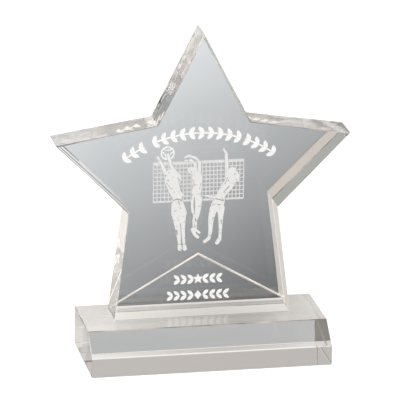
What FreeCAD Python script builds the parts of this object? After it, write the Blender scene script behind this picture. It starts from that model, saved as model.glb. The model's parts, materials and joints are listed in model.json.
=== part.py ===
import FreeCAD
import Part

import math
import os

from FreeCAD import Vector

# Star trophy: a thick clear acrylic star with a mirrored, engraved back, cemented on a wedge-fronted
# clear acrylic base. Millimetres. The origin is the centre of the base's underside, +Z is up, +Y is
# towards the back and +X is to the right as the trophy is read.

# --- base ---------------------------------------------------------------------------------------
BASE_LENGTH = 125.0
BASE_DEPTH = 55.0
BASE_HEIGHT = 20.5
FRONT_WALL_HEIGHT = 10.4   # upright part of the front, below the sloped facet
FRONT_SLOPE_RUN = 13.4     # how far back the sloped facet runs
BASE_CHAMFER = 0.4         # flame-polished edge

# --- star ---------------------------------------------------------------------------------------
CEMENT_THICKNESS = 0.1
STAR_THICKNESS = 20.0
STAR_MIDDLE_Y = 10.4       # the star stands behind the middle of the base
STAR_CENTRE_Z = 90.6
STAR_TIP_RADIUS = 80.4
STAR_NOTCH_RADIUS = 40.6
FOOT_HALF_WIDTH = 46.2     # the two lower arms are cut off flat, this wide
STAR_CHAMFER = 0.5

# --- layers on the back of the star -------------------------------------------------------------
MIRROR_THICKNESS = 0.1
PAINT_THICKNESS = 0.1
LAYER_MARGIN = 0.1         # the layers stop this far inside the star's outline
BARE_FOOT = 3.3            # height of the strip over the base that is left without mirror, for the cement
ENGRAVING_DEPTH = 0.3
SMALLEST_ISLAND = 1.0      # square mm; a smaller piece of a layer inside the artwork comes away

# --- V-groove across the foot -------------------------------------------------------------------
GROOVE_PEAK_Z = 50.1
GROOVE_SLOPE = 0.575       # drop per unit of width, on both sides of the peak
GROOVE_WIDTH = 1.3
GROOVE_DEPTH = 0.8

# --- artwork ------------------------------------------------------------------------------------
GARLAND_RADIUS = 67.5      # centre line of the leaf garland over the players
GARLAND_TOP_Z = 115.3
GARLAND_LEAF_LENGTH = 4.8
GARLAND_LEAF_WIDTH = 2.3
GARLAND_LEAF_TILT = 52.0   # degrees off the garland's own direction
GARLAND_STEM_WIDTH = 0.8
GARLAND_GROUPS = ((-34.5, 3), (-19.8, 10), (22.0, 4))   # first leaf's angle, leaves in the group
GARLAND_PITCH = 4.15       # degrees between leaves
GARLAND_STALK = 1.2        # degrees that the stem runs past its end leaves

NET_LEFT = -24.0
NET_RIGHT = 23.6
NET_TOP_Z = 100.4
NET_BOTTOM_Z = 78.8
NET_TAPE = 1.5             # width of the bands along the top edge
NET_HEM = 0.9              # width of the band along the bottom edge
NET_CORD = 0.42
NET_COLUMNS = 24
NET_ROWS = 9
OUTLINE_GAP = 0.3          # bare mirror left around each player and the ball

BALL_X = -16.4
BALL_Z = 105.2
BALL_RADIUS = 3.6
BALL_RIM = 0.6
BALL_SEAM = 0.45
BALL_SEAM_BEND = 1.35      # seam circles stand this many ball radii from the ball's centre

ROW_1_Z = 36.6
ROW_2_Z = 27.9
ROW_PITCH = 3.6
ROW_LEAF_LENGTH = 3.9
ROW_LEAF_WIDTH = 1.8
ROW_LEAF_TILT = 38.0
ROW_STAR_RADIUS = 2.9
ROW_STAR_NOTCH = 0.45      # the small star's inner corners, as a share of its radius
ROW_DIAMOND_HALF = 2.4
ROW_DIAMOND_SLIM = 0.8     # the diamond's width, as a share of its height

# Each player is a head and chains of knuckles (x, z, radius): limbs are filled, shades stay bare.
PLAYER_LEFT = {
    "head": (-15.2, 94.6, 1.9),
    "limbs": (
        ((-17.6, 94.6, 1.0), (-19.0, 98.4, 0.75), (-21.6, 103.4, 0.55)),
        ((-11.6, 93.4, 1.1), (-14.6, 98.4, 0.8), (-16.2, 104.4, 0.7)),
        ((-13.2, 94.8, 1.3), (-10.4, 93.2, 0.9), (-9.4, 90.4, 0.4)),
        ((-14.4, 90.6, 3.6), (-12.9, 85.6, 3.0), (-11.2, 81.2, 2.4)),
        ((-11.6, 84.8, 1.3), (-8.0, 82.2, 0.6)),
        ((-12.0, 77.6, 2.3), (-11.2, 72.6, 3.1)),
        ((-10.0, 77.4, 2.2), (-8.8, 72.8, 2.5)),
        ((-11.4, 70.6, 2.3), (-10.8, 64.4, 1.4), (-9.9, 56.4, 0.8), (-9.7, 53.4, 1.1)),
        ((-8.4, 71.0, 1.7), (-8.2, 64.4, 1.0), (-7.6, 56.4, 0.7), (-7.1, 53.4, 1.1)),
    ),
    "shades": (
        ((-14.8, 79.2, 0.25), (-11.4, 80.4, 0.5), (-8.4, 79.4, 0.3)),
        ((-10.6, 78.9, 0.35), (-10.0, 77.4, 0.2)),
        ((-9.5, 67.2, 0.25), (-8.8, 58.0, 0.2)),
        ((-11.6, 63.4, 0.5), (-11.1, 61.0, 0.25)),
        ((-11.2, 55.8, 0.15), (-6.4, 55.8, 0.15)),
        ((-17.0, 89.6, 0.15), (-14.6, 85.8, 0.2)),
    ),
}
PLAYER_MIDDLE = {
    "head": (-4.0, 95.4, 2.0),
    "limbs": (
        ((0.2, 93.8, 0.9), (0.3, 99.6, 0.75), (-1.9, 102.1, 0.6), (-5.2, 103.3, 0.55), (-7.4, 102.5, 0.4)),
        ((-1.7, 94.2, 0.9), (-2.0, 98.8, 0.7), (-4.2, 100.9, 0.6), (-7.4, 100.8, 0.45)),
        ((-1.0, 91.6, 2.8), (-0.8, 86.4, 2.4), (-1.4, 82.4, 2.4)),
        ((-1.0, 80.2, 2.6), (-0.6, 75.6, 1.9), (-1.0, 71.8, 1.5), (-2.0, 68.4, 1.2), (-1.9, 63.8, 1.0)),
        ((-2.9, 78.4, 1.3), (-3.0, 73.6, 0.9), (-1.8, 70.2, 0.7)),
        ((-3.1, 63.4, 1.0), (-2.0, 60.8, 0.8), (-0.4, 59.3, 0.8)),
        ((-1.8, 63.4, 0.8), (0.6, 61.6, 0.5)),
    ),
    "shades": (
        ((-2.3, 80.8, 0.3), (-2.3, 76.4, 0.5), (-2.1, 73.0, 0.2)),
        ((-1.7, 69.8, 0.2), (-1.4, 68.0, 0.35)),
        ((-2.1, 66.4, 0.2), (-1.8, 64.6, 0.3)),
        ((-3.2, 90.8, 0.15), (-2.4, 87.4, 0.2)),
        ((1.0, 88.4, 0.15), (0.4, 85.2, 0.2)),
    ),
}
PLAYER_RIGHT = {
    "head": (17.4, 94.0, 2.1),
    "limbs": (
        ((14.6, 91.6, 1.0), (14.4, 99.2, 0.85), (14.2, 103.6, 0.65), (12.8, 106.2, 0.45)),
        ((18.4, 94.6, 1.3), (20.4, 91.4, 0.9), (20.6, 88.4, 0.4)),
        ((17.4, 90.0, 2.9), (14.8, 86.0, 2.8), (11.8, 81.8, 2.3)),
        ((12.6, 82.6, 1.0), (8.4, 80.4, 0.7), (3.9, 81.3, 0.6)),
        ((11.0, 79.4, 2.8), (9.8, 75.8, 3.4)),
        ((7.7, 74.2, 1.9), (6.4, 68.0, 1.4), (6.3, 62.8, 1.0), (5.6, 58.8, 0.8)),
        ((5.4, 58.2, 0.9), (3.2, 56.6, 0.8)),
        ((11.6, 74.4, 2.0), (11.6, 69.0, 1.2), (11.5, 63.4, 0.8), (11.3, 58.6, 0.8)),
        ((11.2, 57.8, 1.0), (9.8, 55.7, 1.0)),
    ),
    "shades": (
        ((8.8, 79.6, 0.25), (12.8, 78.4, 0.4)),
        ((7.2, 76.2, 0.35), (8.6, 76.8, 0.2)),
        ((9.8, 76.6, 0.2), (11.2, 76.0, 0.35)),
        ((13.0, 82.6, 0.2), (15.8, 85.8, 0.4)),
        ((11.8, 67.8, 0.35), (12.0, 65.8, 0.2)),
        ((10.2, 60.8, 0.15), (12.6, 60.8, 0.15)),
        ((4.6, 60.4, 0.15), (6.8, 59.6, 0.15)),
        ((15.2, 90.8, 0.15), (13.6, 87.2, 0.2)),
    ),
}

# --- planes that the layers share ---------------------------------------------------------------
STAR_FRONT_Y = STAR_MIDDLE_Y - STAR_THICKNESS / 2
STAR_BACK_Y = STAR_MIDDLE_Y + STAR_THICKNESS / 2
MIRROR_BACK_Y = STAR_BACK_Y + MIRROR_THICKNESS
PAINT_BACK_Y = MIRROR_BACK_Y + PAINT_THICKNESS
POCKET_FLOOR_Y = STAR_BACK_Y - ENGRAVING_DEPTH
STAR_BOTTOM_Z = BASE_HEIGHT + CEMENT_THICKNESS
ALONG_Y = Vector(0, 1, 0)
TOLERANCE = 1e-6


# --- flat shapes in the star's plane, extruded from y0 to y1 -------------------------------------
def slab(wire, y0, y1):
    """A closed wire drawn at y = 0, as a plate from y0 to y1."""
    plate = Part.Face(wire).extrude(Vector(0, y1 - y0, 0))
    plate.translate(Vector(0, y0, 0))
    return plate


def closed_wire(points):
    corners = [Vector(x, 0, z) for x, z in points]
    return Part.makePolygon(corners + corners[:1])


def polygon(points, y0, y1):
    return slab(closed_wire(points), y0, y1)


def block(x0, x1, z0, z1, y0, y1):
    return Part.makeBox(x1 - x0, y1 - y0, z1 - z0, Vector(x0, y0, z0))


def disc(x, z, radius, y0, y1):
    return Part.makeCylinder(radius, y1 - y0, Vector(x, y0, z), ALONG_Y)


def ring(x, z, radius, width, y0, y1):
    return disc(x, z, radius, y0, y1).cut(disc(x, z, radius - width, y0, y1))


def limb(start, end, y0, y1):
    """Two rounded knuckles (x, z, radius) joined by their common tangents."""
    (xa, za, ra), (xb, zb, rb) = start, end
    heading = math.atan2(zb - za, xb - xa)
    lean = math.acos((ra - rb) / math.hypot(xb - xa, zb - za))

    def on_circle(x, z, radius, angle):
        return Vector(x + radius * math.cos(angle), 0, z + radius * math.sin(angle))

    a_left = on_circle(xa, za, ra, heading + lean)
    a_right = on_circle(xa, za, ra, heading - lean)
    b_left = on_circle(xb, zb, rb, heading + lean)
    b_right = on_circle(xb, zb, rb, heading - lean)
    edges = [
        Part.makeLine(a_left, b_left),
        Part.Arc(b_left, on_circle(xb, zb, rb, heading), b_right).toShape(),
        Part.makeLine(b_right, a_right),
        Part.Arc(a_right, on_circle(xa, za, ra, heading + math.pi), a_left).toShape(),
    ]
    return slab(Part.Wire(edges), y0, y1)


def leaf(x, z, length, width, degrees, y0, y1):
    """A pointed leaf centred on (x, z), its length turned by degrees from +X."""
    turn = math.radians(degrees)
    along = Vector(math.cos(turn), 0, math.sin(turn)) * (length / 2)
    across = Vector(-math.sin(turn), 0, math.cos(turn)) * (width / 2)
    middle = Vector(x, 0, z)
    tip, heel = middle + along, middle - along
    edges = [
        Part.Arc(tip, middle + across, heel).toShape(),
        Part.Arc(heel, middle - across, tip).toShape(),
    ]
    return slab(Part.Wire(edges), y0, y1)


def star_points(centre_z, tip_radius, notch_radius):
    """The ten corners of a five-pointed star standing on two points, from its top tip, clockwise."""
    radii = (tip_radius, notch_radius) * 5
    turns = [math.radians(36 * i) for i in range(10)]
    return [(r * math.sin(a), centre_z + r * math.cos(a)) for r, a in zip(radii, turns)]


def merge(shapes):
    return shapes[0].multiFuse(shapes[1:]).removeSplitter()


def group(shapes):
    """Separate solids in one compound."""
    return Part.makeCompound([solid for shape in shapes for solid in shape.Solids])


def without_specks(layer, thickness):
    """The layer without the islands in the artwork that are too small to stay on."""
    kept = [solid for solid in layer.Solids if solid.Volume > SMALLEST_ISLAND * thickness]
    return Part.makeCompound(kept)


# --- clear acrylic ------------------------------------------------------------------------------
def make_base_block():
    half_depth = BASE_DEPTH / 2
    profile = [
        (-half_depth, 0),
        (-half_depth, FRONT_WALL_HEIGHT),
        (-half_depth + FRONT_SLOPE_RUN, BASE_HEIGHT),
        (half_depth, BASE_HEIGHT),
        (half_depth, 0),
    ]
    corners = [Vector(-BASE_LENGTH / 2, y, z) for y, z in profile]
    end_face = Part.Face(Part.makePolygon(corners + corners[:1]))
    bar = end_face.extrude(Vector(BASE_LENGTH, 0, 0))
    return bar.makeChamfer(BASE_CHAMFER, bar.Edges)


def make_cement():
    return block(
        -FOOT_HALF_WIDTH + LAYER_MARGIN,
        FOOT_HALF_WIDTH - LAYER_MARGIN,
        BASE_HEIGHT,
        STAR_BOTTOM_Z,
        STAR_FRONT_Y + LAYER_MARGIN,
        STAR_BACK_Y - LAYER_MARGIN,
    )


def star_outline():
    """The star's nine corners: a full star whose two lower arms stop flat at the base."""
    corners = star_points(STAR_CENTRE_Z, STAR_TIP_RADIUS, STAR_NOTCH_RADIUS)
    top, right, lower_right = corners[0], corners[1:3], corners[3]
    foot_right = (FOOT_HALF_WIDTH, STAR_BOTTOM_Z)
    right_side = [*right, lower_right, foot_right]
    left_side = [(-x, z) for x, z in reversed(right_side)]
    return [top, *right_side, *left_side]


def layer_blank(y0, y1):
    """A plate of the star's outline, shrunk all round and cut off over the base."""
    outline = Part.Face(closed_wire(star_outline()))
    plate = outline.makeOffset2D(-LAYER_MARGIN, 2).extrude(Vector(0, y1 - y0, 0))
    plate.translate(Vector(0, y0, 0))
    reach = STAR_TIP_RADIUS
    return plate.cut(block(-reach, reach, 0, STAR_BOTTOM_Z + BARE_FOOT, y0, y1))


def groove_half(width, depth):
    """The left half of the groove, open at the star's back and mitred at the peak."""
    reach = STAR_TIP_RADIUS
    half = width / 2 * math.hypot(1, GROOVE_SLOPE)
    section = [
        Vector(0, STAR_BACK_Y, GROOVE_PEAK_Z + half),
        Vector(0, STAR_BACK_Y, GROOVE_PEAK_Z - half),
        Vector(0, STAR_BACK_Y - depth, GROOVE_PEAK_Z),
    ]
    triangle = Part.Face(Part.makePolygon(section + section[:1]))
    return triangle.extrude(Vector(-reach, 0, -reach * GROOVE_SLOPE))


def mirrored(shape):
    return shape.mirror(Vector(0, 0, 0), Vector(1, 0, 0))


def make_groove():
    left = groove_half(GROOVE_WIDTH, GROOVE_DEPTH)
    return left.fuse(mirrored(left))


def make_star_block(art):
    blank = polygon(star_outline(), STAR_FRONT_Y, STAR_BACK_Y)

    def on_front_rim(edge):
        in_front = all(abs(v.Y - STAR_FRONT_Y) < TOLERANCE for v in edge.Vertexes)
        return in_front and edge.CenterOfMass.z > STAR_BOTTOM_Z + TOLERANCE

    blank = blank.makeChamfer(STAR_CHAMFER, [edge for edge in blank.Edges if on_front_rim(edge)])
    return blank.cut(make_groove()).cut(group(art))


# --- artwork: engraved pockets, filled with white paint ------------------------------------------
def make_garland(y0, y1):
    """Pairs of leaves on a stem, in three groups along an arc, all growing towards its top."""
    centre_z = GARLAND_TOP_Z - GARLAND_RADIUS
    sprigs = []
    for first, count in GARLAND_GROUPS:
        leaves = []
        for i in range(count):
            angle = first + i * GARLAND_PITCH
            side = -1 if angle > 0 else 1
            for across in (-1, 1):
                offset = across * GARLAND_LEAF_LENGTH * 0.3
                x = (GARLAND_RADIUS + offset) * math.sin(math.radians(angle))
                z = centre_z + (GARLAND_RADIUS + offset) * math.cos(math.radians(angle))
                tilt = -angle + side * across * GARLAND_LEAF_TILT
                leaves.append(leaf(x, z, GARLAND_LEAF_LENGTH, GARLAND_LEAF_WIDTH, tilt, y0, y1))
        last = first + (count - 1) * GARLAND_PITCH
        leaves.append(arc_band(centre_z, first - GARLAND_STALK, last + GARLAND_STALK, y0, y1))
        sprigs.append(merge(leaves))
    return group(sprigs)


def arc_band(centre_z, start, stop, y0, y1):
    """The garland's stem between two angles from the vertical, in degrees."""
    band = ring(0, centre_z, GARLAND_RADIUS + GARLAND_STEM_WIDTH / 2, GARLAND_STEM_WIDTH, y0, y1)
    reach = GARLAND_RADIUS * 1.2
    wedge = [(0, centre_z)]
    for angle in (start, (start + stop) / 2, stop):
        turn = math.radians(angle)
        wedge.append((reach * math.sin(turn), centre_z + reach * math.cos(turn)))
    return band.common(polygon(wedge, y0, y1))


def chain_parts(chain, grow, y0, y1):
    grown = [(x, z, radius + grow) for x, z, radius in chain]
    return [limb(a, b, y0, y1) for a, b in zip(grown, grown[1:])]


def player_parts(player, grow, y0, y1):
    x, z, radius = player["head"]
    parts = [disc(x, z, radius + grow, y0, y1)]
    for chain in player["limbs"]:
        parts += chain_parts(chain, grow, y0, y1)
    return parts


def make_player(player, y0, y1):
    shades = []
    for chain in player["shades"]:
        shades += chain_parts(chain, 0, y0, y1)
    figure = merge(player_parts(player, 0, y0, y1)).cut(merge(shades))
    return without_specks(figure, y1 - y0)


def make_ball(keep_clear, y0, y1):
    """A rim and three bent seams."""
    parts = [ring(BALL_X, BALL_Z, BALL_RADIUS, BALL_RIM, y0, y1)]
    inside = disc(BALL_X, BALL_Z, BALL_RADIUS, y0, y1)
    for turn in (90, 210, 330):
        x = BALL_X + BALL_RADIUS * BALL_SEAM_BEND * math.cos(math.radians(turn))
        z = BALL_Z + BALL_RADIUS * BALL_SEAM_BEND * math.sin(math.radians(turn))
        parts.append(ring(x, z, BALL_RADIUS, BALL_SEAM, y0, y1).common(inside))
    return merge(parts).cut(keep_clear)


def make_net(keep_clear, y0, y1):
    """A cord mesh between a tape and a hem, broken where the players stand in front of it."""
    sheet = block(NET_LEFT, NET_RIGHT, NET_BOTTOM_Z, NET_TOP_Z, y0, y1)
    column = (NET_RIGHT - NET_LEFT - NET_CORD) / NET_COLUMNS
    row = (NET_TOP_Z - NET_TAPE - NET_BOTTOM_Z - NET_HEM + NET_CORD) / NET_ROWS
    holes = []
    for i in range(NET_COLUMNS):
        x = NET_LEFT + NET_CORD + i * column
        for j in range(NET_ROWS):
            z = NET_BOTTOM_Z + NET_HEM + j * row
            holes.append(block(x, x + column - NET_CORD, z, z + row - NET_CORD, y0, y1))
    return sheet.cut(Part.makeCompound(holes)).cut(keep_clear)


def leaf_pair(x, z, side, y0, y1):
    """Two leaves of one row, spread like a V that opens away from the row's middle."""
    return [
        leaf(
            x,
            z + half * ROW_LEAF_LENGTH * 0.32,
            ROW_LEAF_LENGTH,
            ROW_LEAF_WIDTH,
            side * half * ROW_LEAF_TILT,
            y0,
            y1,
        )
        for half in (-1, 1)
    ]


def make_row(z, pairs, centre_piece, y0, y1):
    parts = [centre_piece]
    for i in range(1, pairs + 1):
        for side in (-1, 1):
            parts += leaf_pair(side * (i * ROW_PITCH + 0.4), z, side, y0, y1)
    return group([merge(parts)])


def make_star_row(y0, y1):
    points = star_points(ROW_1_Z, ROW_STAR_RADIUS, ROW_STAR_RADIUS * ROW_STAR_NOTCH)
    return make_row(ROW_1_Z, 3, polygon(points, y0, y1), y0, y1)


def make_diamond_row(y0, y1):
    tall = ROW_DIAMOND_HALF
    wide = tall * ROW_DIAMOND_SLIM
    points = [(0, ROW_2_Z + tall), (wide, ROW_2_Z), (0, ROW_2_Z - tall), (-wide, ROW_2_Z)]
    return make_row(ROW_2_Z, 4, polygon(points, y0, y1), y0, y1)


def make_artwork(y0, y1):
    players = {
        "fill_player_left": PLAYER_LEFT,
        "fill_player_middle": PLAYER_MIDDLE,
        "fill_player_right": PLAYER_RIGHT,
    }
    outlines = [part for p in players.values() for part in player_parts(p, OUTLINE_GAP, y0, y1)]
    ball_outline = disc(BALL_X, BALL_Z, BALL_RADIUS + OUTLINE_GAP, y0, y1)
    art = {name: make_player(p, y0, y1) for name, p in players.items()}
    art["fill_ball"] = make_ball(merge(outlines), y0, y1)
    art["fill_net"] = make_net(merge([*outlines, ball_outline]), y0, y1)
    art["fill_garland"] = make_garland(y0, y1)
    art["fill_star_row"] = make_star_row(y0, y1)
    art["fill_diamond_row"] = make_diamond_row(y0, y1)
    return art


# --- mirror and paint layers ---------------------------------------------------------------------
def make_layers(name, y0, y1, art):
    """One layer behind the star, parted by the groove and opened by the engraving."""
    half = GROOVE_WIDTH / 2 * math.hypot(1, GROOVE_SLOPE)
    reach = STAR_TIP_RADIUS
    drop = reach * GROOVE_SLOPE
    over, under = GROOVE_PEAK_Z + half, GROOVE_PEAK_Z - half
    sky = STAR_CENTRE_Z + reach
    above = [(-reach, over - drop), (0, over), (reach, over - drop), (reach, sky), (-reach, sky)]
    below = [(-reach, under - drop), (0, under), (reach, under - drop), (reach, -reach), (-reach, -reach)]
    sheet = without_specks(layer_blank(y0, y1).cut(group(art)), y1 - y0)
    return {
        name + "_star": sheet.common(polygon(above, y0, y1)),
        name + "_foot": sheet.common(polygon(below, y0, y1)),
    }


def main():
    art = make_artwork(POCKET_FLOOR_Y, PAINT_BACK_Y)
    nodes = {
        "base_block": make_base_block(),
        "cement_layer": make_cement(),
        "star_block": make_star_block(list(art.values())),
    }
    nodes.update(make_layers("mirror_coat", STAR_BACK_Y, MIRROR_BACK_Y, list(art.values())))
    nodes.update(make_layers("backing_paint", MIRROR_BACK_Y, PAINT_BACK_Y, list(art.values())))
    nodes.update(art)
    os.makedirs("parts", exist_ok=True)
    for name, shape in nodes.items():
        print(name, "solids", len(shape.Solids), "valid", shape.isValid(), "mm3", round(shape.Volume, 1))
        shape.exportStep(os.path.join("parts", name + ".step"))


main()
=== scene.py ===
import json
import math

import bmesh
import bpy
from mathutils import Matrix, Vector


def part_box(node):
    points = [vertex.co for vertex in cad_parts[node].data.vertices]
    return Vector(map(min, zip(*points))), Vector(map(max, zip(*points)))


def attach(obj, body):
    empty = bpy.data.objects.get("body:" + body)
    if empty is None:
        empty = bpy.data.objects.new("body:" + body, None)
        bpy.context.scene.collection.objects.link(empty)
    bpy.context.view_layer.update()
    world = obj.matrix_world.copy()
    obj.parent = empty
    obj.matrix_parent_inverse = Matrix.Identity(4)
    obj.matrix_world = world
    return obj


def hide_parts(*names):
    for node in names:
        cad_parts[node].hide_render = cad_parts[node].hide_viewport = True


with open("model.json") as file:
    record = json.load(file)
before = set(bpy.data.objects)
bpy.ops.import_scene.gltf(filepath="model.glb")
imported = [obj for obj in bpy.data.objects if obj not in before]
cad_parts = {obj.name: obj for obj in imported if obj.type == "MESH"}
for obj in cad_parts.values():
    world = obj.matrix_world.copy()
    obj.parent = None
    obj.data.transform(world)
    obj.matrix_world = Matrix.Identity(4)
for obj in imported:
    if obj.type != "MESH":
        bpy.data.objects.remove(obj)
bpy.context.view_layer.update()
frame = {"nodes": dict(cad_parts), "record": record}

MM = 0.001

# --- shape, in metres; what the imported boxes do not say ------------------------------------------
NOTCH_RATIO = 40.6 / 80.4          # the star's inner corners, as a share of its tip radius
FOOT_HALF_WIDTH = 46.2 * MM
STAR_CHAMFER = 0.5 * MM
FRONT_WALL_HEIGHT = 10.4 * MM
FRONT_SLOPE_RUN = 13.4 * MM
POLISHED_EDGE = 0.4 * MM           # radius that flame polishing leaves on a sawn edge
SAWN_RIM = 0.25 * MM               # the narrow corner round the star's back and its cemented foot, painted dark brown
SMOOTH_ANGLE = 20                  # degrees; the base's corners sharper than this are polished round
SAME_PLACE = 0.001 * MM            # points closer than this are taken to coincide
GROOVE_PEAK_Z = 50.1 * MM
GROOVE_SLOPE = 0.575
GROOVE_WIDTH = 1.3 * MM
GROOVE_DEPTH = 0.8 * MM
GROOVE_PROUD = 1 * MM              # how far the groove's cutter stands out behind the star
BACK_OVERLAP = 0.02 * MM           # the acrylic reaches this far into the coats, so no two faces coincide

# --- camera: degrees, metres; lens and sensor in millimetres --------------------------------------
VIEW_AZIMUTH = -11.16
VIEW_ELEVATION = 17.49
VIEW_ROLL = 0.545
VIEW_DISTANCE = 2.2574
VIEW_TARGET = Vector((-0.00196, 0, 0.08353))
LENS = 397.4
SENSOR = 36.0

# --- studio ---------------------------------------------------------------------------------------
FLOOR_Z = -0.2 * MM                # a film of air under the base keeps its underside bright
FLOOR_HALF = 4.0                   # half the side of the floor, and of the light in it
FLOOR_LIGHT_HALF = 0.7
SHEET_GAP = 0.1 * MM               # the floor's light lies this far under the floor, the card over it
WARM_WHITE = (1.0, 0.965, 0.925)
WARM_GREY = (0.55, 0.52, 0.495)
COOL_GREY = (0.465, 0.475, 0.475)
OLIVE_GREY = (0.38, 0.35, 0.3)
DUSK = (0.2, 0.195, 0.19)
MIRRORED_GREY = (0.99, 0.99, 1.0)

# what the acrylic sees around it: tones by elevation, times tones by azimuth (from +X to +Y), degrees
SKY = (
    (-2, DUSK),
    (4, WARM_GREY),
    (21, WARM_GREY),
    (24, WARM_WHITE),
    (46, WARM_WHITE),
    (51, COOL_GREY),
    (90, COOL_GREY),
)
AROUND = (
    (-180, (1, 1, 1)),
    (-124, (1.4, 1.33, 1.25)),
    (-112, (1.35, 1.28, 1.2)),
    (-107, (0.9, 0.93, 0.9)),
    (-92, (0.85, 0.87, 0.84)),
    (-84, (0.4, 0.4, 0.4)),
    (-50, (0.4, 0.4, 0.4)),
    (-30, (1, 1, 1)),
    (104, (1, 1, 1)),
    (110, OLIVE_GREY),
    (140, OLIVE_GREY),
    (160, (1, 1, 1)),
)
# the softboxes: name, place, what it points at, width and height, watts
LAMPS = (
    ("overhead", (-0.3, -0.2, 1.6), (0, 0, 0), (1.6, 1.6), 26),
    ("front_fill", (-0.5, -2.0, 0.9), (0, 0, 0.08), (1.4, 1.0), 26),
    ("key", (-1.5, -0.9, 0.8), (0, 0, 0.08), (1.0, 1.0), 17),
)
CARD_LEVEL = 0.19                  # brightness of the card's painted shadow of the trophy, below the star's middle
CARD_SLOPE = (-2.1, -1.63, 0)      # gain in brightness per metre to the right and to the back: the painted shadow darkens to the right and towards the trophy
CARD_SIDES = (-0.4, 0.5)           # x of its left and right sides; below, y of its back and front
CARD_ENDS = (0.0, -0.9)
CARD_BRIGHTEST = 1.0
DIMMEST = 0.1                      # for the card and the floor's light alike
SHADOW_LEVEL = 0.5                 # brightness of the floor right under the trophy
SHADOW_GAIN = (6.0, 3.0, 0)        # gain per metre away from it, along x and y
SHADOW_SHIFT = (-0.12, 0, 0)       # puts the darkest place 20 mm to the right of the middle
FLOOR_BRIGHTEST = 0.95

# the sawn and flame-polished edges: how milky, how rippled, and how far from square
LEG_HAZE = 0.85                    # right leg
EDGE_HAZE = 0.02
TIP_HAZE = 0.2                     # added over the top of the star
TIP_START = 138 * MM
TIP_BLEND = 6 * MM
ARM_TOP_HAZE = 0.12
LEFT_HAZE = 0.28                   # left leg
GROOVE_HAZE = 0.8
GROOVE_TINT = (0.72, 0.69, 0.65)
EDGE_RIPPLE = 0.005
LEFT_RIPPLE = 0.04
# the base's ends are tinted a little darker than its other faces: a painted shade
END_SHADE_TINT = (0.9, 0.89, 0.87)
LEG_RIPPLE = 0.01
END_RIPPLE = 0.006
ARM_DRAFT = -2.0                   # degrees, in the shading of the right arm's lower edge only
TOP_ROUGHNESS = 0.16               # of the base's top
ACRYLIC_IOR = 1.49
CREAM = (0.985, 0.945, 0.905)
PEACH = (0.985, 0.9, 0.83)
CLEAR = (0.985, 0.99, 0.985)
CAST_TINT = (0.98, 0.982, 0.975)
CAST_SWELL = 0.01 * MM             # how far a cast face is from flat

# the other materials' tones, from dark to light
# the dark rim's browns; along the base's rounded top-front edge they are painted shade
RIM_AND_SHADE_TONES = ((0.35, (0.14, 0.11, 0.09)), (0.7, (0.6, 0.53, 0.46)))
MIRROR_TONES = ((0.3, (0.86, 0.885, 0.9)), (0.7, (0.89, 0.91, 0.925)))
PAINT_TONES = ((0.3, (0.17, 0.175, 0.18)), (0.7, (0.2, 0.205, 0.21)))
FILL_TONE = 0.97
NET_TONE = 0.76                    # the net's thin lines look greyer than the broad shapes
PLAYER_TONE = 0.84
PLAYER_GRAIN = 0.4


# --- meshes ---------------------------------------------------------------------------------------
def piece(name, mesh, *materials):
    for material in materials:
        mesh.materials.append(material)
    obj = bpy.data.objects.new(name, mesh)
    bpy.context.scene.collection.objects.link(obj)
    return obj


def mesh_of(name, bm):
    bmesh.ops.recalc_face_normals(bm, faces=bm.faces)
    mesh = bpy.data.meshes.new(name)
    bm.to_mesh(mesh)
    bm.free()
    return mesh


def prism(bm, corners, reach):
    """Closed prism: the polygon of corners swept along the vector reach."""
    near = [bm.verts.new(c) for c in corners]
    far = [bm.verts.new(Vector(c) + Vector(reach)) for c in corners]
    bm.faces.new(near)
    bm.faces.new(list(reversed(far)))
    count = len(corners)
    for i in range(count):
        j = (i + 1) % count
        bm.faces.new((near[i], far[i], far[j], near[j]))


def skin(bm, rings):
    """Closed solid through equal rings of vertices, capped at both ends."""
    count = len(rings[0])
    for a, b in zip(rings, rings[1:]):
        for i in range(count):
            j = (i + 1) % count
            bm.faces.new((a[i], a[j], b[j], b[i]))
    bm.faces.new(rings[0])
    bm.faces.new(rings[-1])


def star_outline(low, high):
    """The nine corners in x and z, clockwise from the top tip."""
    tip = (high.x - low.x) / 2 / math.sin(math.radians(72))
    centre_z = high.z - tip
    right = []
    for step, radius in ((1, tip * NOTCH_RATIO), (2, tip), (3, tip * NOTCH_RATIO)):
        turn = math.radians(36 * step)
        right.append((radius * math.sin(turn), centre_z + radius * math.cos(turn)))
    right.append((FOOT_HALF_WIDTH, low.z))
    return [(0, high.z), *right, *[(-x, z) for x, z in reversed(right)]]


def groove_cutter(back_y):
    """The V-shaped channel over the foot, as one solid that stands out behind the star."""
    half = GROOVE_WIDTH / 2 * math.hypot(1, GROOVE_SLOPE)
    flare = half * (1 + GROOVE_PROUD / GROOVE_DEPTH)
    behind = back_y + GROOVE_PROUD
    reach = FOOT_HALF_WIDTH * 1.5
    bm = bmesh.new()
    rings = []
    for x in (-reach, 0, reach):
        z = GROOVE_PEAK_Z - abs(x) * GROOVE_SLOPE
        section = ((back_y - GROOVE_DEPTH, z), (behind, z + flare), (behind, z - flare))
        rings.append([bm.verts.new((x, y, zz)) for y, zz in section])
    skin(bm, rings)
    return piece("cutter", mesh_of("cutter", bm))


def cut(obj, cutter):
    modifier = obj.modifiers.new("cut", "BOOLEAN")
    modifier.object = cutter
    modifier.solver = "EXACT"
    bpy.context.view_layer.update()
    graph = bpy.context.evaluated_depsgraph_get()
    mesh = bpy.data.meshes.new_from_object(obj.evaluated_get(graph))
    obj.modifiers.clear()
    obj.data = mesh
    bpy.data.objects.remove(cutter)


# the star's finishes, in the order in which make_star takes them
FACE, EDGE, RIGHT_LEG, ARM_LOWER, FOOT, RIM, LEFT_LEG, GROOVE, ARM_TOP = range(9)
# the base's, in the order in which make_base takes them
BASE_FACE, BASE_END, FOOTPRINT, BASE_CORNER, BASE_TOP = range(5)


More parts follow.
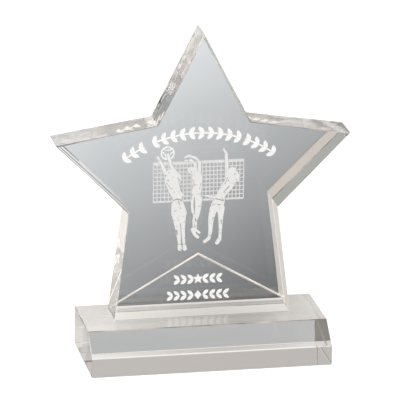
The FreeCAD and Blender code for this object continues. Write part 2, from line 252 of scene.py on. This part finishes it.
def star_finish(face, low):
    """Which finish a face of the star has, told by the way it faces and where it lies."""
    normal = face.normal
    if abs(normal.y) > 0.99:
        return FACE
    if normal.z < -0.99 and face.center.z < low.z + 10 * SAME_PLACE:
        return FOOT
    if 0.5 < normal.y < 0.69 and abs(normal.z) > 0.5:
        return GROOVE
    on_leg = normal.x > 0.6 and abs(normal.z) < 0.2
    if abs(normal.y - math.sqrt(0.5)) < 0.01 and not on_leg:
        return RIM
    if normal.z < -0.5 and face.center.z < low.z + SAWN_RIM:
        return RIM
    if on_leg and normal.y > -0.1:
        return RIGHT_LEG
    if normal.x < -0.9 and abs(normal.z) < 0.2:
        return LEFT_LEG
    if normal.z > 0.9:
        return ARM_TOP
    return ARM_LOWER if normal.x > 0.7 and normal.z < -0.4 else EDGE


def make_star(*finishes):
    """The star, bevelled round its front and painted dark brown round its back, with a finish for each
    face.
    """
    low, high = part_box("star_block")
    front, back = low.y, high.y + BACK_OVERLAP
    corners = [Vector((x, back, z)) for x, z in star_outline(low, high)]
    bm = bmesh.new()
    prism(bm, corners, (0, front - back, 0))

    def lies_at(edge, axis, value):
        return all(abs(v.co[axis] - value) < SAME_PLACE for v in edge.verts)

    front_rim = [e for e in bm.edges if lies_at(e, 1, front) and not lies_at(e, 2, low.z)]
    bmesh.ops.bevel(bm, geom=front_rim, offset=STAR_CHAMFER, segments=1, affect="EDGES")
    sawn = [e for e in bm.edges if lies_at(e, 1, back) or lies_at(e, 2, low.z)]
    bmesh.ops.bevel(bm, geom=sawn, offset=SAWN_RIM, segments=1, affect="EDGES")
    star = piece("acrylic_star", mesh_of("acrylic_star", bm), *finishes)
    cut(star, groove_cutter(high.y))
    for polygon in star.data.polygons:
        polygon.material_index = star_finish(polygon, low)
    return star


def make_base(*finishes):
    """Wedge-fronted block. Its top is divided so that the bonded footprint is a face of its own."""
    low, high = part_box("base_block")
    foot_low, foot_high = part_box("star_block")
    profile = [
        (low.y, low.z),
        (low.y, low.z + FRONT_WALL_HEIGHT),
        (low.y + FRONT_SLOPE_RUN, high.z),
        (foot_low.y, high.z),
        (foot_high.y, high.z),
        (high.y, high.z),
        (high.y, low.z),
    ]
    stations = (low.x, -FOOT_HALF_WIDTH, FOOT_HALF_WIDTH, high.x)
    bm = bmesh.new()
    rings = [[bm.verts.new((x, y, z)) for y, z in profile] for x in stations]
    skin(bm, rings)
    bmesh.ops.recalc_face_normals(bm, faces=bm.faces)
    sharp = [e for e in bm.edges if e.calc_face_angle(0) > math.radians(SMOOTH_ANGLE)]
    bmesh.ops.bevel(bm, geom=sharp, offset=POLISHED_EDGE, segments=2, profile=0.5, affect="EDGES")
    base = piece("acrylic_base", mesh_of("acrylic_base", bm), *finishes)
    for face in base.data.polygons:
        sideways = abs(face.normal.x) > 0.99
        face.material_index = BASE_END if sideways else BASE_FACE
        on_top = face.normal.z > 0.99 and face.center.z > high.z - 10 * SAME_PLACE
        inside = abs(face.center.x) < FOOT_HALF_WIDTH and foot_low.y < face.center.y < foot_high.y
        if on_top:
            face.material_index = FOOTPRINT if inside else BASE_TOP
        # the rounded top-front edge takes the dark rim: a painted shade of the round
        if face.normal.z > 0.75 and -0.55 < face.normal.y < -0.05:
            face.material_index = BASE_CORNER
    return base


def make_cement(bonded):
    low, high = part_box("cement_layer")
    bm = bmesh.new()
    corners = [(low.x, low.y), (high.x, low.y), (high.x, high.y), (low.x, high.y)]
    prism(bm, [(x, y, low.z) for x, y in corners], (0, 0, high.z - low.z))
    return piece("cement_film", mesh_of("cement_film", bm), bonded)


# --- materials ------------------------------------------------------------------------------------
def new_material(name):
    material = bpy.data.materials.new(name)
    material.use_nodes = True
    nodes = material.node_tree.nodes
    nodes.clear()
    output = nodes.new("ShaderNodeOutputMaterial")
    shader = nodes.new("ShaderNodeBsdfPrincipled")
    material.node_tree.links.new(shader.outputs["BSDF"], output.inputs["Surface"])
    return material, nodes, material.node_tree.links, shader, output


def noise(nodes, links, scale, detail, stretch=(1, 1, 1)):
    """Noise in the trophy's own metres, stretched along an axis."""
    place = nodes.new("ShaderNodeTexCoord")
    mapping = nodes.new("ShaderNodeMapping")
    mapping.inputs["Scale"].default_value = stretch
    texture = nodes.new("ShaderNodeTexNoise")
    texture.inputs["Scale"].default_value = scale
    texture.inputs["Detail"].default_value = detail
    links.new(place.outputs["Object"], mapping.inputs["Vector"])
    links.new(mapping.outputs["Vector"], texture.inputs["Vector"])
    return texture


def bump(nodes, links, shader, height, strength, distance):
    node = nodes.new("ShaderNodeBump")
    node.inputs["Strength"].default_value = strength
    node.inputs["Distance"].default_value = distance
    links.new(height, node.inputs["Height"])
    links.new(node.outputs["Normal"], shader.inputs["Normal"])


def ramp(nodes, links, value, stops):
    node = nodes.new("ShaderNodeValToRGB")
    elements = node.color_ramp.elements
    while len(elements) < len(stops):
        elements.new(0.5)
    for element, (position, colour) in zip(elements, stops):
        element.position = position
        element.color = (*colour, 1)
    links.new(value, node.inputs["Fac"])
    return node.outputs["Color"]


def multiply(nodes, links, first, second):
    """Two colours multiplied; a Mix node has its colours in sockets 6 and 7 and gives socket 2."""
    node = nodes.new("ShaderNodeMix")
    node.data_type = "RGBA"
    node.blend_type = "MULTIPLY"
    node.inputs["Factor"].default_value = 1.0
    links.new(first, node.inputs[6])
    links.new(second, node.inputs[7])
    return node.outputs[2]


def math_node(nodes, links, operation, *values):
    node = nodes.new("ShaderNodeMath")
    node.operation = operation
    for socket, value in zip(node.inputs, values):
        if isinstance(value, (int, float)):
            socket.default_value = value
        else:
            links.new(value, socket)
    return node.outputs["Value"]


def let_lamps_through(nodes, links, shader, output):
    """Lamps shine through clear acrylic as through a clear block, instead of casting its shadow."""
    path = nodes.new("ShaderNodeLightPath")
    clear = nodes.new("ShaderNodeBsdfTransparent")
    either = nodes.new("ShaderNodeMixShader")
    links.new(path.outputs["Is Shadow Ray"], either.inputs["Fac"])
    links.new(shader.outputs["BSDF"], either.inputs[1])
    links.new(clear.outputs["BSDF"], either.inputs[2])
    links.new(either.outputs["Shader"], output.inputs["Surface"])


def acrylic_face(name, roughness):
    """The clear faces of the cast sheet: a faint swell and tint, sharp or a little soft."""
    material, nodes, links, shader, output = new_material(name)
    cast = noise(nodes, links, 30, 2.0)
    links.new(
        ramp(nodes, links, cast.outputs["Fac"], ((0.35, CLEAR), (0.65, CAST_TINT))),
        shader.inputs["Base Color"],
    )
    shader.inputs["Roughness"].default_value = roughness
    shader.inputs["IOR"].default_value = ACRYLIC_IOR
    shader.inputs["Transmission Weight"].default_value = 1.0
    bump(nodes, links, shader, cast.outputs["Fac"], 1.0, CAST_SWELL)
    let_lamps_through(nodes, links, shader, output)
    return material


def acrylic_edge(name, haze, ripple, draft=0.0, roughness=0.0, clear=CLEAR):
    """Sawn, flame-polished edges: long soft ripples, a warm tint in places, milky or out of square."""
    material, nodes, links, shader, output = new_material(name)
    tint = noise(nodes, links, 70, 2.0, (1, 0.25, 1))
    second = CREAM if clear == CLEAR else clear
    links.new(
        ramp(nodes, links, tint.outputs["Fac"], ((0.3, clear), (0.45, second), (0.65, PEACH))),
        shader.inputs["Base Color"],
    )
    shader.inputs["Roughness"].default_value = roughness
    shader.inputs["IOR"].default_value = ACRYLIC_IOR
    place = nodes.new("ShaderNodeTexCoord")
    split = nodes.new("ShaderNodeSeparateXYZ")
    links.new(place.outputs["Object"], split.inputs["Vector"])
    above = math_node(nodes, links, "SUBTRACT", split.outputs["Z"], TIP_START)
    tip = math_node(nodes, links, "DIVIDE", above, TIP_BLEND)
    tip.node.use_clamp = True
    links.new(
        math_node(nodes, links, "MULTIPLY_ADD", tip, -TIP_HAZE, 1 - haze),
        shader.inputs["Transmission Weight"],
    )
    waves = noise(nodes, links, 45, 1.0, (1, 0.3, 1))
    lean = math_node(nodes, links, "MULTIPLY", split.outputs["Y"], math.tan(math.radians(draft)) / MM)
    height = math_node(nodes, links, "MULTIPLY_ADD", waves.outputs["Fac"], ripple, lean)
    bump(nodes, links, shader, height, 1.0, 1 * MM)
    let_lamps_through(nodes, links, shader, output)
    return material


def dark_rim_and_shade():
    """Thin corners painted brown, darker and lighter along their length; on the base's rounded top-front
    edge the brown is a painted shade.
    """
    material, nodes, links, shader, output = new_material("dark_rim_and_shade")
    darkening = noise(nodes, links, 60, 3.0)
    links.new(ramp(nodes, links, darkening.outputs["Fac"], RIM_AND_SHADE_TONES), shader.inputs["Base Color"])
    shader.inputs["Roughness"].default_value = 0.25
    shader.inputs["IOR"].default_value = ACRYLIC_IOR
    shader.inputs["Transmission Weight"].default_value = 0.3
    return material


def bonded_face():
    """Where cement joins two acrylic faces nothing is seen, because light does not bend there."""
    material, nodes, links, shader, output = new_material("bonded_acrylic")
    clear = nodes.new("ShaderNodeBsdfTransparent")
    links.new(clear.outputs["BSDF"], output.inputs["Surface"])
    nodes.remove(shader)
    return material


def mirror():
    """The silver behind the acrylic, a little uneven in tone."""
    material, nodes, links, shader, output = new_material("mirror_coat")
    tone = noise(nodes, links, 40, 2.0)
    links.new(ramp(nodes, links, tone.outputs["Fac"], MIRROR_TONES), shader.inputs["Base Color"])
    shader.inputs["Metallic"].default_value = 1.0
    shader.inputs["Roughness"].default_value = 0.03
    return material


def paint():
    """Matt grey paint over the mirror, blotchy and with a fine orange peel."""
    material, nodes, links, shader, output = new_material("backing_paint")
    blotch = noise(nodes, links, 90, 4.0)
    links.new(ramp(nodes, links, blotch.outputs["Fac"], PAINT_TONES), shader.inputs["Base Color"])
    shader.inputs["Roughness"].default_value = 0.55
    peel = noise(nodes, links, 1800, 2.0)
    bump(nodes, links, shader, peel.outputs["Fac"], 0.4, 0.05 * MM)
    return material


def white_fill(name, tone, grain):
    """White paint in frosted engraving; grain is how far the halftone's bare specks darken it."""
    material, nodes, links, shader, output = new_material(name)
    frost = noise(nodes, links, 1500, 3.0)
    specks = noise(nodes, links, 600, 4.0)
    wear = ramp(nodes, links, specks.outputs["Fac"], ((0.33, (1 - grain,) * 3), (0.4, (1, 1, 1))))
    paint_tone = ramp(
        nodes, links, frost.outputs["Fac"], ((0.35, (tone * 0.92,) * 3), (0.55, (tone, tone, tone * 1.005)))
    )
    both = multiply(nodes, links, paint_tone, wear)
    links.new(both, shader.inputs["Base Color"])
    shader.inputs["Roughness"].default_value = 0.8
    bump(nodes, links, shader, frost.outputs["Fac"], 0.3, 0.05 * MM)
    return material


# --- studio ---------------------------------------------------------------------------------------
def emission(name, colour):
    """A glowing sheet's material and its Emission node, whose strength set_strength sets."""
    material = bpy.data.materials.new(name)
    material.use_nodes = True
    nodes = material.node_tree.nodes
    nodes.clear()
    output = nodes.new("ShaderNodeOutputMaterial")
    glow = nodes.new("ShaderNodeEmission")
    glow.inputs["Color"].default_value = (*colour, 1)
    material.node_tree.links.new(glow.outputs["Emission"], output.inputs["Surface"])
    return material, glow


def sheet(name, corners, material):
    bm = bmesh.new()
    bm.faces.new([bm.verts.new(c) for c in corners])
    mesh = bpy.data.meshes.new(name)
    bm.to_mesh(mesh)
    bm.free()
    obj = piece(name, mesh, material)
    return obj


def square_sheet(name, half, z, material):
    return sheet(name, [(-half, -half, z), (half, -half, z), (half, half, z), (-half, half, z)], material)


def for_glass_only(obj):
    """Seen through and in the acrylic and the mirror, but not by the camera or by matt surfaces."""
    obj.visible_camera = False
    obj.visible_diffuse = False
    obj.visible_shadow = False


def sheet_place(material):
    nodes = material.node_tree.nodes
    return nodes, material.node_tree.links, nodes.new("ShaderNodeTexCoord").outputs["Object"]


def set_strength(nodes, links, glow, change, level, most):
    """Strength of a glow: level plus the change, kept between the dimmest and most."""
    total = math_node(nodes, links, "ADD", change, level)
    limit = nodes.new("ShaderNodeClamp")
    limit.inputs["Min"].default_value = DIMMEST
    limit.inputs["Max"].default_value = most
    links.new(total, limit.inputs["Value"])
    links.new(limit.outputs["Result"], glow.inputs["Strength"])


def brighter_along(material, glow, slope, level, most):
    """The glow gains by the slope, per metre along x and y."""
    nodes, links, place = sheet_place(material)
    along = nodes.new("ShaderNodeVectorMath")
    along.operation = "DOT_PRODUCT"
    along.inputs[1].default_value = slope
    links.new(place, along.inputs[0])
    set_strength(nodes, links, glow, along.outputs["Value"], level, most)


def brighter_away(material, glow, gain, shift, level, most):
    """The glow gains with the distance from its darkest place, which shift moves off the middle."""
    nodes, links, place = sheet_place(material)
    stretched = nodes.new("ShaderNodeVectorMath")
    stretched.operation = "MULTIPLY_ADD"
    stretched.inputs[1].default_value = gain
    stretched.inputs[2].default_value = shift
    links.new(place, stretched.inputs[0])
    distance = nodes.new("ShaderNodeVectorMath")
    distance.operation = "LENGTH"
    links.new(stretched.outputs["Vector"], distance.inputs[0])
    set_strength(nodes, links, glow, distance.outputs["Value"], level, most)


def make_floor():
    """The pale floor that is seen, and the light that the acrylic gathers from it."""
    material, nodes, links, shader, output = new_material("pale_floor")
    shader.inputs["Base Color"].default_value = (0.92, 0.92, 0.92, 1)
    shader.inputs["Roughness"].default_value = 0.9
    shader.inputs["Specular IOR Level"].default_value = 0.1
    floor = square_sheet("floor", FLOOR_HALF, FLOOR_Z, material)
    floor.visible_glossy = False
    floor.visible_transmission = False
    warm, glow = emission("floor_light", WARM_WHITE)
    # the floor's light dims towards the trophy: a painted shadow of it, darkest 20 mm right of the middle
    brighter_away(warm, glow, SHADOW_GAIN, SHADOW_SHIFT, SHADOW_LEVEL, FLOOR_BRIGHTEST)
    for_glass_only(square_sheet("floor_light", FLOOR_LIGHT_HALF, FLOOR_Z - SHEET_GAP, warm))


def make_shadow_card():
    """A card in front of the trophy and under its front half, lighter to the left and away: a painted
    shadow of the trophy on the table in front.
    """
    material, glow = emission("card_painted_shadow", MIRRORED_GREY)
    brighter_along(material, glow, CARD_SLOPE, CARD_LEVEL, CARD_BRIGHTEST)
    (left, right), (rear, front), z = CARD_SIDES, CARD_ENDS, FLOOR_Z + SHEET_GAP
    corners = [(left, front, z), (right, front, z), (right, rear, z), (left, rear, z)]
    # the card glows for the acrylic only, carrying a painted shadow of the trophy
    card = sheet("shadow_card", corners, material)
    for_glass_only(card)


def make_world():
    """White where the camera sees it; toned all round for what the acrylic and the mirror gather."""
    world = bpy.data.worlds.new("studio")
    bpy.context.scene.world = world
    world.use_nodes = True
    nodes, links = world.node_tree.nodes, world.node_tree.links
    nodes.clear()
    output = nodes.new("ShaderNodeOutputWorld")
    seen = nodes.new("ShaderNodeBackground")
    seen.inputs["Color"].default_value = (1, 1, 1, 1)
    around = nodes.new("ShaderNodeBackground")
    place = nodes.new("ShaderNodeTexCoord")
    split = nodes.new("ShaderNodeSeparateXYZ")
    links.new(place.outputs["Generated"], split.inputs["Vector"])
    rise = math_node(nodes, links, "MULTIPLY_ADD", split.outputs["Z"], 0.5, 0.5)
    turn = math_node(nodes, links, "ARCTAN2", split.outputs["Y"], split.outputs["X"])
    share = math_node(nodes, links, "MULTIPLY_ADD", turn, 0.5 / math.pi, 0.5)
    sky = [(0.5 + 0.5 * math.sin(math.radians(angle)), tone) for angle, tone in SKY]
    ring = [((angle + 180) / 360, tone) for angle, tone in AROUND]
    tones = multiply(nodes, links, ramp(nodes, links, rise, sky), ramp(nodes, links, share, ring))
    links.new(tones, around.inputs["Color"])
    path = nodes.new("ShaderNodeLightPath")
    either = nodes.new("ShaderNodeMixShader")
    links.new(path.outputs["Is Camera Ray"], either.inputs["Fac"])
    links.new(around.outputs["Background"], either.inputs[1])
    links.new(seen.outputs["Background"], either.inputs[2])
    links.new(either.outputs["Shader"], output.inputs["Surface"])


def softbox(name, place, aim, size, power):
    lamp = bpy.data.lights.new(name, "AREA")
    lamp.shape = "RECTANGLE"
    lamp.size, lamp.size_y = size
    lamp.energy = power
    obj = bpy.data.objects.new(name, lamp)
    bpy.context.scene.collection.objects.link(obj)
    obj.location = place
    obj.rotation_euler = (Vector(aim) - Vector(place)).to_track_quat("-Z", "Y").to_euler()
    obj.visible_glossy = False
    obj.visible_transmission = False


def make_camera():
    azimuth, elevation, roll = (math.radians(a) for a in (VIEW_AZIMUTH, VIEW_ELEVATION, VIEW_ROLL))
    back = Vector(
        (
            math.sin(azimuth) * math.cos(elevation),
            -math.cos(azimuth) * math.cos(elevation),
            math.sin(elevation),
        )
    )
    right = Vector((0, 0, 1)).cross(back).normalized()
    up = back.cross(right)
    rolled_right = right * math.cos(roll) + up * math.sin(roll)
    rolled_up = up * math.cos(roll) - right * math.sin(roll)
    turn = Matrix((rolled_right, rolled_up, back)).transposed()
    data = bpy.data.cameras.new("camera")
    data.lens = LENS
    data.sensor_width = SENSOR
    data.clip_end = 50
    camera = bpy.data.objects.new("camera", data)
    bpy.context.scene.collection.objects.link(camera)
    camera.matrix_world = Matrix.Translation(VIEW_TARGET + back * VIEW_DISTANCE) @ turn.to_4x4()
    bpy.context.scene.camera = camera


# --- build ----------------------------------------------------------------------------------------
make_camera()
face_finish = acrylic_face("acrylic_polished_face", 0.0)
top_finish = acrylic_face("acrylic_base_top", TOP_ROUGHNESS)
bonded = bonded_face()
rim = dark_rim_and_shade()
star_finishes = (
    face_finish,
    acrylic_edge("acrylic_polished_edge", EDGE_HAZE, EDGE_RIPPLE),
    acrylic_edge("acrylic_right_leg_edge", LEG_HAZE, LEG_RIPPLE, roughness=0.5),
    acrylic_edge("acrylic_drafted_edge", 0.0, LEG_RIPPLE, draft=ARM_DRAFT),
    bonded,
    rim,
    acrylic_edge("acrylic_left_leg_edge", LEFT_HAZE, LEFT_RIPPLE),
    acrylic_edge("acrylic_groove", GROOVE_HAZE, LEG_RIPPLE, roughness=0.3, clear=GROOVE_TINT),
    acrylic_edge("acrylic_arm_top_edge", ARM_TOP_HAZE, EDGE_RIPPLE, roughness=0.1),
)
# the base's ends, tinted darker as painted shade
end_finish = acrylic_edge("acrylic_base_end", 0.0, END_RIPPLE, clear=END_SHADE_TINT)
for obj, node, slot in (
    (make_star(*star_finishes), "star_block", "clear_acrylic"),
    # the base's top-front corner takes the dark rim as painted shade
    (make_base(face_finish, end_finish, bonded, rim, top_finish), "base_block", "clear_acrylic"),
    (make_cement(bonded), "cement_layer", "clear_cement"),
):
    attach(obj, "root")
    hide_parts(node)

finishes = {
    "mirror_coat": mirror(),
    "backing_paint": paint(),
    "engraving_fill": white_fill("engraving_fill", FILL_TONE, 0.0),
}
special = {"fill_net": white_fill("engraving_fill_fine", NET_TONE, 0.0)}
halftone = white_fill("engraving_fill_halftone", PLAYER_TONE, PLAYER_GRAIN)
for entry in frame["record"]["subparts"]:
    name = entry["node"]
    if name.startswith("fill_player"):
        special[name] = halftone
    if entry["material_slot"] in finishes:
        for holder in frame["nodes"][name].material_slots:
            holder.material = special.get(name, finishes[entry["material_slot"]])

make_floor()
make_shadow_card()
make_world()
for lamp in LAMPS:
    softbox(*lamp)

scene = bpy.context.scene
scene.view_settings.view_transform = "Standard"
scene.cycles.max_bounces = 24
scene.cycles.transmission_bounces = 24
scene.cycles.glossy_bounces = 12
scene.cycles.transparent_max_bounces = 24
scene.cycles.sample_clamp_indirect = 10
